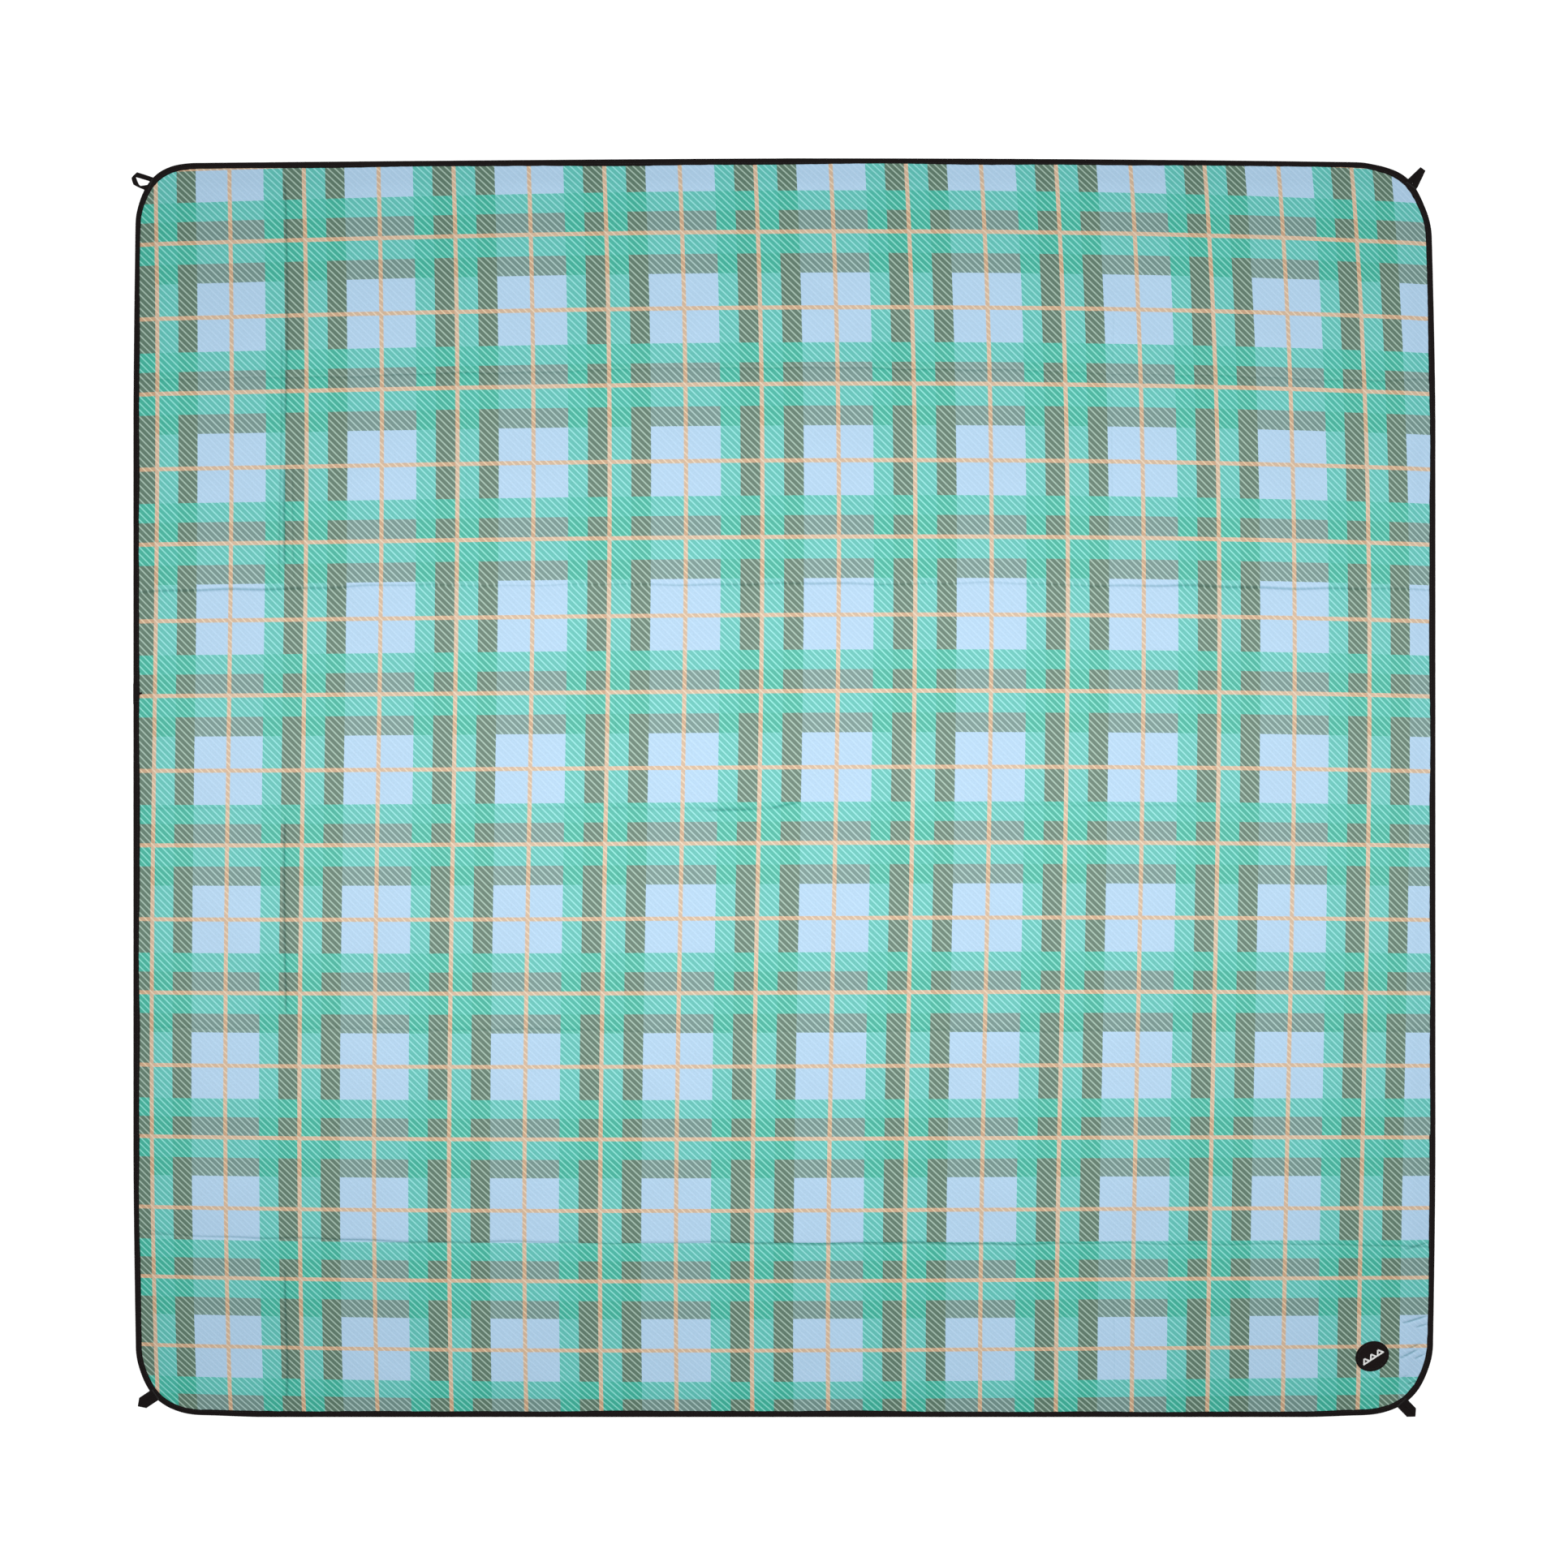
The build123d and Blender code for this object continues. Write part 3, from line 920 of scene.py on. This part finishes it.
def make_loop(seat, material):
    """The tape from tail to tail, with a faint ripple across and even steps along."""
    outer, inner = (np.array(edge, float) for edge in LOOP_SHAPES[seat.name])
    steps = 6
    stations = np.arange((len(outer) - 1) * steps + 1) / steps
    places = np.arange(len(outer))
    outer, inner = (
        stacked(*[np.interp(stations, places, edge[:, i]) for i in range(3)]) for edge in (outer, inner)
    )
    across = np.linspace(0, 1, 9)
    share = across[None, :, None]
    local = outer[:, None, :] * (1 - share) + inner[:, None, :] * share
    local[..., 2] += 0.04 * np.sin(across * math.pi * 8)
    points = seat.place(local)
    faces = grid_quads(*points.shape[:2]).tolist()
    maps = {"cloth": flat_map(along_run((outer + inner)[:, :2] / 2), across * LOOP_TAPE)}
    piece = make_piece(
        f"peg_tape_{seat.name}", points.reshape(-1, 3), faces, material, "loop_tape", maps,
    )
    thick = piece.modifiers.new("thickness", "SOLIDIFY")
    thick.thickness = LOOP_TAPE_THICKNESS * MM
    thick.offset = 0.0
    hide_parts(f"peg_loop_{seat.name}", f"loop_tails_{seat.name}")
    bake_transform(piece)


def make_bar_tack(seat, material):
    """A dense zigzag of thread across both tails, sewn through the binding."""
    count = 30
    half_length = 7.0
    t = np.linspace(-half_length, half_length, count)
    s = np.where(np.arange(count) % 2 == 0, -4.2, -2.2)
    top = TAPE_TOP_Z + TAPE_THICKNESS / 2
    fine = np.linspace(0, count - 1, 6 * count)
    s, t = np.interp(fine, range(count), s), np.interp(fine, range(count), t)
    z = top + 0.02 + 0.1 * np.abs(np.sin(math.pi * fine))
    zigzag = tubes(seat.place(stacked(s, t, z))[None, :, :], 0.2)
    make_thread(f"bar_tack_thread_{seat.name}", zigzag, material, f"bar_tack_{seat.name}", seat.row)


# ======== badge ========

BADGE_TURN = math.radians(25)
BADGE_RADII = (20.5, 17.5)
BADGE_BASE = FULL_TOP + 0.02
BADGE_THICKNESS = 0.45
BORDER_START = 0.885
BORDER_WRAPS = 120
MOTIF_TURN = math.radians(8)
MOTIF_WIDTH = 29.0
MOTIF_HEIGHT = 7.6
TENT_COUNT = 3


def on_badge(u, v, z):
    """Blanket points from the badge's own long axis, short axis and height."""
    centre = badge_place()[0]
    x = centre[0] + u * math.cos(BADGE_TURN) - v * math.sin(BADGE_TURN)
    y = centre[1] + u * math.sin(BADGE_TURN) + v * math.cos(BADGE_TURN)
    return stacked(x, y, z)


def make_badge(material):
    """A dense woven oval with a border of thread wrapped over its edge."""
    turns = np.linspace(0, 2 * math.pi, 4 * BORDER_WRAPS, endpoint=False)
    share = np.concatenate([np.linspace(0.02, 0.86, 12), np.linspace(BORDER_START, 1.0, 11)])
    is_border = share >= BORDER_START
    border = np.clip((share - BORDER_START) / (1 - BORDER_START), 0, 1)
    arch = 0.32 + 0.5 * np.sqrt(np.clip(1 - (2 * border - 1) ** 2, 0, 1))
    height = np.where(is_border, arch, BADGE_THICKNESS)
    ring, turn = np.meshgrid(share, turns, indexing="ij")
    ridges = np.cos(BORDER_WRAPS * turn) * np.where(is_border, 0.07, 0.0)[:, None]
    u, v = BADGE_RADII[0] * ring * np.cos(turn), BADGE_RADII[1] * ring * np.sin(turn)
    top = on_badge(u, v, BADGE_BASE + height[:, None] + ridges)
    edge = on_badge(u[-1], v[-1], BADGE_BASE)
    hubs = on_badge(0.0, 0.0, np.array([BADGE_BASE + BADGE_THICKNESS, BADGE_BASE]))
    rows, columns = ring.shape
    points = np.concatenate([top.reshape(-1, 3), edge, hubs])
    index = np.arange((rows + 1) * columns).reshape(rows + 1, columns)
    hub = (rows + 1) * columns
    inner, outer = index[0].tolist(), index[-1].tolist()
    first = [[hub, a, b] for a, b in zip(inner, inner[1:] + inner[:1])]
    last = [[hub + 1, b, a] for a, b in zip(outer, outer[1:] + outer[:1])]
    faces = ring_walls(index) + first + last
    piece = make_piece("badge_patch", points, faces, material, "badge_patch", flat_on_top(points))
    take_place(piece, "badge", "row_6")


def make_badge_stitches(material):
    """The ring of stitches inside the border that holds the badge down."""
    count, in_from_edge = 62, 3.1
    starts = np.linspace(0, 2 * math.pi, count, endpoint=False)
    turn = starts[:, None] + STITCH_SHARE * 0.62 * 2 * math.pi / count
    u = (BADGE_RADII[0] - in_from_edge) * np.cos(turn)
    v = (BADGE_RADII[1] - in_from_edge) * np.sin(turn)
    line = on_badge(u, v, BADGE_BASE + BADGE_THICKNESS - 0.03 + 0.16 * STITCH_ARCH)
    make_thread("badge_stitches", tubes(line, THREAD_RADIUS), material, "badge_stitch", "row_6")


def satin_bar(start, end, width):
    """A raised bar of satin stitch: a low arch whose close threads lie across it."""
    cos, sin = math.cos(MOTIF_TURN), math.sin(MOTIF_TURN)
    turn = np.array([[cos, -sin], [sin, cos]])
    start, end = turn @ np.array(start, float), turn @ np.array(end, float)
    run = end - start
    length = np.linalg.norm(run)
    along = run / length
    aside = np.array([-along[1], along[0]])
    steps = np.arange(0, length, 0.12)
    share = np.linspace(-1, 1, 9)
    s, t = np.meshgrid(steps, share, indexing="ij")
    ragged = 1 + 0.05 * np.sin(s * 40)
    plan = start + s[..., None] * along + (t * ragged * width / 2)[..., None] * aside
    thread = 0.05 * np.cos(2 * math.pi * s / 0.36 + 0.8 * t)
    arch = 0.34 * np.sqrt(np.clip(1 - t**2, 0, 1)) + thread * (1 - t**4)
    base = BADGE_BASE + BADGE_THICKNESS - 0.02
    top = on_badge(plan[..., 0], plan[..., 1], base + np.maximum(arch, 0.02))
    under = on_badge(plan[..., 0], plan[..., 1], base - 0.05)
    return slab(top, under)


def make_badge_motif(material):
    """A row of plain tents on a ground line."""
    line = 1.9
    half_width = MOTIF_WIDTH / 2
    foot, ridge = (line - MOTIF_HEIGHT) / 2, (MOTIF_HEIGHT - line) / 2
    half_tent = half_width / TENT_COUNT
    bars = [((-half_width, foot), (half_width, foot))]
    for tent in range(TENT_COUNT):
        middle = (2 * tent + 1) * half_tent - half_width
        reach = half_tent - line / 2
        bars += [((middle + side * reach, foot), (middle, ridge)) for side in (-1, 1)]
    points, faces = join([satin_bar(start, end, line) for start, end in bars])
    piece = make_piece("badge_tents", points, faces, material, "motif_thread", flat_on_top(points))
    take_place(piece, "badge_motif", "row_6")


# ======== materials ========

class Recipe:
    """A material's nodes, added one by one. Every call gives back the new output."""

    def __init__(self, name):
        self.material = bpy.data.materials.new(name)
        self.material.use_nodes = True
        self.tree = self.material.node_tree
        self.shader = self.tree.nodes["Principled BSDF"]

    def add(self, kind, inputs=(), output=0, **settings):
        node = self.tree.nodes.new(kind)
        for name, value in settings.items():
            setattr(node, name, value)
        for place, value in inputs:
            self.give(node.inputs[place], value)
        return node.outputs[output]

    def give(self, socket, value):
        if isinstance(value, bpy.types.NodeSocket):
            self.tree.links.new(value, socket)
        else:
            socket.default_value = value

    def math(self, operation, a, b=0.0):
        return self.add("ShaderNodeMath", [(0, a), (1, b)], operation=operation)

    def times(self, a, b):
        return self.math("MULTIPLY", a, b)

    def mix(self, share, a, b, blend="MIX"):
        inputs = [("Factor", share), (6, a), (7, b)]
        return self.add("ShaderNodeMix", inputs, output=2, data_type="RGBA", blend_type=blend)

    def place(self, uv_map):
        return self.add("ShaderNodeUVMap", uv_map=uv_map)

    def noise(self, where, scale, detail=2.0, roughness=0.5):
        inputs = [("Vector", where), ("Scale", scale), ("Detail", detail), ("Roughness", roughness)]
        return self.add("ShaderNodeTexNoise", inputs)

    def remap(self, value, low, high, to_low, to_high, kind="LINEAR"):
        inputs = [(0, value), (1, low), (2, high), (3, to_low), (4, to_high)]
        return self.add("ShaderNodeMapRange", inputs, interpolation_type=kind)

    def wave(self, value, pitch):
        """A cosine of a place in metres, one period for each pitch in millimetres."""
        return self.math("COSINE", self.times(value, 2 * math.pi / (pitch * MM)))

    def split(self, value, kind="ShaderNodeSeparateXYZ", parts=2):
        node = self.tree.nodes.new(kind)
        self.give(node.inputs[0], value)
        return tuple(node.outputs)[:parts]

    def pressed(self):
        """How deep a crease is here, as a share of the deepest."""
        return self.add("ShaderNodeAttribute", attribute_name="pressed", output=2)

    def cloth(self):
        """The place on the flat cloth in metres, whole and as its two parts."""
        flat = self.place("cloth")
        return flat, *self.split(flat)

    def bump(self, height, strength, distance, below=None):
        inputs = [("Strength", strength), ("Distance", distance * MM), ("Height", height)]
        if below is not None:
            inputs.append(("Normal", below))
        return self.add("ShaderNodeBump", inputs)

    def finish(self, colour, normal=None, **settings):
        self.give(self.shader.inputs["Base Color"], colour)
        if normal is not None:
            self.give(self.shader.inputs["Normal"], normal)
        for name, value in settings.items():
            self.shader.inputs[name.replace("_", " ")].default_value = value
        return self.material


# The plaid's inks as linear colours, plain and under the pale hatch, each named for
# what crosses there: green stripes, olive stripes, blue ground and orange lines.
PLAIN_INKS = {
    "ground": (0.468, 0.700, 0.921, 1),
    "ground_olive": (0.172, 0.308, 0.281, 1),
    "olive": (0.111, 0.210, 0.149, 1),
    "pale_green": (0.113, 0.581, 0.516, 1),
    "green": (0.056, 0.529, 0.418, 1),
    "green_olive": (0.037, 0.483, 0.355, 1),
    "orange": (0.715, 0.505, 0.345, 1),
    "orange_olive": (0.640, 0.398, 0.240, 1),
}
HATCH_INKS = {
    "ground": (0.538, 0.764, 0.985, 1),
    "ground_olive": (0.452, 0.661, 0.624, 1),
    "olive": (0.420, 0.596, 0.493, 1),
    "pale_green": (0.324, 0.839, 0.806, 1),
    "green": (0.282, 0.842, 0.755, 1),
    "green_olive": (0.263, 0.816, 0.696, 1),
    "orange": (0.900, 0.728, 0.545, 1),
    "orange_olive": (0.895, 0.694, 0.460, 1),
}


def stripe_shares(recipe, place):
    """How much green, olive and orange line each place along a period has."""
    none, green, olive, line = (0, 0, 0, 1), (1, 0, 0, 1), (0, 1, 0, 1), (0, 0, 1, 1)
    stops = (
        (0.0, line), (0.0142, green), (0.144, olive), (0.272, none), (0.486, line),
        (0.514, none), (0.729, green), (0.859, olive), (0.988, line),
    )
    node = recipe.tree.nodes.new("ShaderNodeValToRGB")
    node.color_ramp.interpolation = "CONSTANT"
    elements = node.color_ramp.elements
    elements[0].position, elements[0].color = stops[0]
    elements[1].position, elements[1].color = stops[1]
    for position, colour in stops[2:]:
        elements.new(position).color = colour
    recipe.give(node.inputs[0], recipe.math("FRACT", place))
    return recipe.split(node.outputs[0], "ShaderNodeSeparateColor", 3)


def plaid(recipe, inks, across, down):
    """The check's colour from the shares of both directions."""
    green_x, olive_x, line_x = across
    green_y, olive_y, line_y = down
    any_green = recipe.math("MAXIMUM", green_x, green_y)
    busy_x = recipe.math("ADD", green_x, olive_x)
    busy_y = recipe.math("ADD", green_y, olive_y)
    any_olive = recipe.math("MAXIMUM", olive_x, olive_y)
    full_green = recipe.times(any_green, recipe.times(busy_x, busy_y))
    orange = recipe.mix(any_olive, inks["orange"], inks["orange_olive"])
    colour = recipe.mix(olive_y, inks["ground"], inks["ground_olive"])
    colour = recipe.mix(olive_x, colour, inks["olive"])
    colour = recipe.mix(any_green, colour, inks["pale_green"])
    green = recipe.mix(any_olive, inks["green"], inks["green_olive"])
    colour = recipe.mix(full_green, colour, green)
    return recipe.mix(recipe.math("MAXIMUM", line_x, line_y), colour, orange)


def printed_cloth():
    """Brushed polyester with the plaid printed on it, under a fine slanting hatch, with painted shade
    in its creases.
    """
    recipe = Recipe("printed_cloth")
    flat, flat_x, flat_y = recipe.cloth()
    frayed = recipe.times(recipe.math("SUBTRACT", recipe.noise(flat, 900.0), 0.5), 0.008)
    across, down = recipe.split(recipe.place("print"))
    across = recipe.math("ADD", across, frayed)
    down = recipe.math("ADD", down, frayed)
    shares = stripe_shares(recipe, across), stripe_shares(recipe, down)
    turn = recipe.math("SUBTRACT", across, down)
    turn = recipe.math("SUBTRACT", recipe.times(turn, HATCH_PER_PERIOD), HATCH_PHASE)
    crest = recipe.math("COSINE", recipe.times(turn, 2 * math.pi))
    hatch = recipe.remap(crest, 0.45, 0.85, 0.0, 1.0, "SMOOTHSTEP")
    colour = recipe.mix(
        hatch, plaid(recipe, PLAIN_INKS, *shares), plaid(recipe, HATCH_INKS, *shares),
    )
    nap = recipe.noise(flat, 420.0, 3.0, 0.65)
    fade = recipe.noise(flat, 9.0, 3.0, 0.55)
    nap_shade = recipe.remap(nap, 0.3, 0.7, -0.035, 0.035)
    shade = recipe.math("ADD", nap_shade, recipe.remap(fade, 0.3, 0.7, 0.985, 1.015))
    # Painted shade: the colour darkens along the creases by how deep each is, more in red than in green
    # and blue.
    painted_crease_shade = recipe.remap(recipe.pressed(), 0.12, 1.0, 0.0, 0.36)
    shade = recipe.math("SUBTRACT", shade, painted_crease_shade)
    red_shade = recipe.math("SUBTRACT", shade, recipe.times(painted_crease_shade, 0.5))
    crease_shade_tint = recipe.add("ShaderNodeCombineColor", [(0, red_shade), (1, shade), (2, shade)])
    colour = recipe.mix(1.0, colour, crease_shade_tint, "MULTIPLY")
    weave = recipe.times(recipe.wave(flat_x, 0.8), recipe.wave(flat_y, 0.8))
    normal = recipe.bump(weave, 0.25, 0.08)
    normal = recipe.bump(nap, 0.35, 0.5, normal)
    return recipe.finish(
        colour, normal, Roughness=0.42, Specular_IOR_Level=0.55, Sheen_Weight=0.05,
        Sheen_Roughness=0.5,
    )


def tape_cloth(name, colour, worn):
    """Black grosgrain: fine ribs across the tape, slightly dusty on their crests."""
    recipe = Recipe(name)
    flat, along, around = recipe.cloth()
    ribs = recipe.wave(along, 0.7)
    yarn = recipe.wave(around, 0.5)
    lint = recipe.noise(flat, 1500.0, 3.0, 0.6)
    crests = recipe.remap(ribs, 0.2, 1.0, 0.0, 0.6)
    dust = recipe.times(crests, recipe.remap(lint, 0.45, 0.75, 0.0, 1.0))
    height = recipe.math("ADD", ribs, recipe.times(yarn, 0.3))
    normal = recipe.bump(height, 0.4, 0.1)
    normal = recipe.bump(lint, 0.2, 0.1, normal)
    return recipe.finish(
        recipe.mix(dust, colour, worn), normal, Roughness=0.85, Specular_IOR_Level=0.12,
        Sheen_Weight=0.03, Sheen_Roughness=0.4,
    )


def backing_cloth():
    """A charcoal coated weave with a faint sheen and scuffed creases."""
    recipe = Recipe("backing_cloth")
    flat, flat_x, flat_y = recipe.cloth()
    weave = recipe.math("ADD", recipe.wave(flat_x, 1.1), recipe.wave(flat_y, 1.1))
    blotch = recipe.noise(flat, 14.0, 4.0, 0.6)
    grain = recipe.noise(flat, 700.0, 2.0, 0.6)
    colour = recipe.mix(blotch, (0.018, 0.019, 0.023, 1), (0.034, 0.035, 0.040, 1))
    rubbed = recipe.remap(recipe.pressed(), 0.1, 0.9, 0.0, 0.7)
    scuff = recipe.times(rubbed, recipe.remap(grain, 0.4, 0.6, 0.2, 1.0))
    colour = recipe.mix(scuff, colour, (0.09, 0.09, 0.095, 1))
    normal = recipe.bump(weave, 0.35, 0.12)
    normal = recipe.bump(grain, 0.2, 0.15, normal)
    return recipe.finish(colour, normal, Roughness=0.5, Specular_IOR_Level=0.35)


def wadding():
    """Loose white polyester fibre."""
    recipe = Recipe("wadding")
    flat = recipe.place("cloth")
    fibre = recipe.noise(flat, 300.0, 6.0, 0.75)
    lump = recipe.noise(flat, 40.0, 3.0, 0.5)
    colour = recipe.mix(fibre, (0.62, 0.62, 0.60, 1), (0.86, 0.86, 0.84, 1))
    normal = recipe.bump(lump, 0.4, 1.0, recipe.bump(fibre, 0.6, 0.6))
    return recipe.finish(colour, normal, Roughness=0.9, Specular_IOR_Level=0.2, Sheen_Weight=0.3)


def sewing_thread():
    """Black twisted thread with a soft shine."""
    recipe = Recipe("sewing_thread")
    where = recipe.add("ShaderNodeTexCoord", output=3)
    along_x, along_y = recipe.split(where)
    strand = recipe.wave(recipe.math("ADD", along_x, along_y), 0.35)
    fuzz = recipe.noise(where, 2500.0, 2.0, 0.6)
    colour = recipe.mix(fuzz, (0.010, 0.008, 0.008, 1), (0.030, 0.026, 0.026, 1))
    normal = recipe.bump(strand, 0.5, 0.08, recipe.bump(fuzz, 0.2, 0.05))
    return recipe.finish(colour, normal, Roughness=0.55, Specular_IOR_Level=0.3, Sheen_Weight=0.05)


def badge_cloth():
    """A dense black twill patch."""
    recipe = Recipe("badge_cloth")
    flat, flat_x, flat_y = recipe.cloth()
    twill = recipe.wave(recipe.math("ADD", flat_x, flat_y), 0.6)
    fuzz = recipe.noise(flat, 1800.0, 3.0, 0.6)
    colour = recipe.mix(fuzz, (0.006, 0.003, 0.003, 1), (0.018, 0.012, 0.012, 1))
    normal = recipe.bump(twill, 0.4, 0.12, recipe.bump(fuzz, 0.2, 0.06))
    return recipe.finish(colour, normal, Roughness=0.85, Specular_IOR_Level=0.1, Sheen_Weight=0.02)


def motif_thread():
    """Off-white embroidery thread, shiny along its strands."""
    recipe = Recipe("motif_thread")
    flat = recipe.place("cloth")
    fuzz = recipe.noise(flat, 2200.0, 3.0, 0.6)
    colour = recipe.mix(fuzz, (0.86, 0.86, 0.84, 1), (0.98, 0.98, 0.97, 1))
    normal = recipe.bump(fuzz, 0.3, 0.05)
    return recipe.finish(colour, normal, Roughness=0.4, Specular_IOR_Level=0.5, Sheen_Weight=0.1)


# ======== the whole blanket ========

def make_blanket():
    printed, under, fibre = printed_cloth(), backing_cloth(), wadding()
    black, dusty = (0.0100, 0.0065, 0.0066, 1), (0.030, 0.026, 0.026, 1)
    binding = tape_cloth("binding_tape", black, dusty)
    loop = tape_cloth("loop_tape", black, dusty)
    thread = sewing_thread()
    for number in range(FOLD_COUNT):
        make_top_cloth(number, printed)
        make_padding(number, fibre)
        make_backing(number, under)
        make_binding(number, binding)
        make_seam(number, thread)
    make_lap_end(binding)
    make_lap_stitches(thread)
    for name in LOOP_NAMES:
        seat = Seat(name)
        make_loop(seat, loop)
        make_bar_tack(seat, thread)
    make_badge(badge_cloth())
    make_badge_stitches(thread)
    make_badge_motif(motif_thread())


make_camera()
make_floor()
make_light()
make_blanket()
